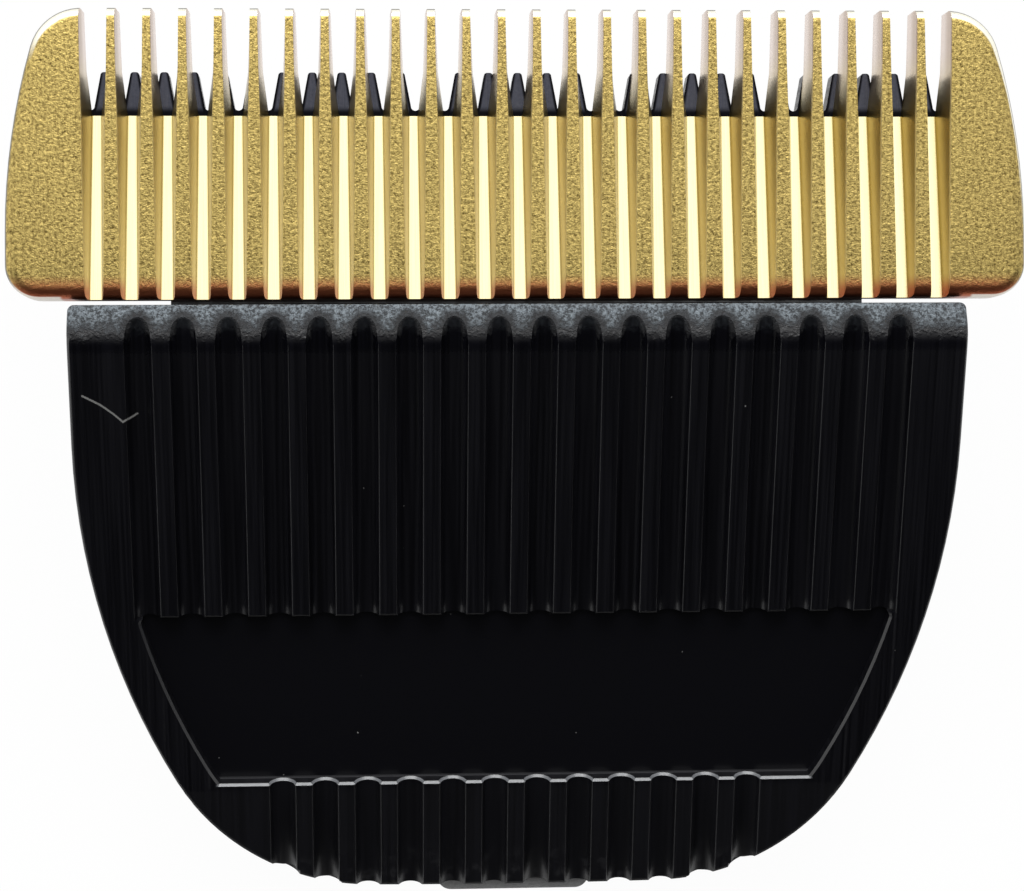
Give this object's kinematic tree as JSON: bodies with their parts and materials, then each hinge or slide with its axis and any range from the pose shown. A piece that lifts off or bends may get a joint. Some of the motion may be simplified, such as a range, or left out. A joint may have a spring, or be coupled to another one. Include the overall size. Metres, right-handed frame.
{
  "type": "hair clipper blade",
  "caption": "Clip-on hair clipper blade: gold comb with ground slots, black cutter sliding behind it, ribbed wedge housing with drive slot and hook.",
  "frame": {"origin": "middle of the footprint, on the plane that the back rim lies on", "axes": "+X across the teeth, +Y from the mounting hook to the tooth tips, +Z from the back rim to the ribbed face"},
  "size_m": [0.0464, 0.0416, 0.0124],
  "materials": {
    "housing_black": "black moulded plastic, satin on the ribs, eroded texture on the front bevel",
    "comb_gold": "gold nitride coating, sand-blasted face, polished grooves",
    "screw_steel": "plain zinc-plated steel",
    "cutter_black": "black carbon coating on ground steel",
    "carrier_plastic": "natural off-white acetal",
    "spring_steel": "drawn bright wire",
    "hook_grey": "grey moulded plastic, fine matt texture"
  },
  "bodies": {
    "housing": {"blade_housing": "housing_black", "comb_blade": "comb_gold", "comb_screws": "screw_steel", "pressure_spring_left": "spring_steel", "pressure_spring_right": "spring_steel", "mounting_hook": "hook_grey"},
    "cutter": {"cutter_blade": "cutter_black", "cutter_carrier": "carrier_plastic"}
  },
  "joints": [
    {"name": "cutter_slide", "type": "slide", "parent": "housing", "child": "cutter", "axis": [1, 0, 0], "range_m": [-0.0011, 0.0011]}
  ]
}
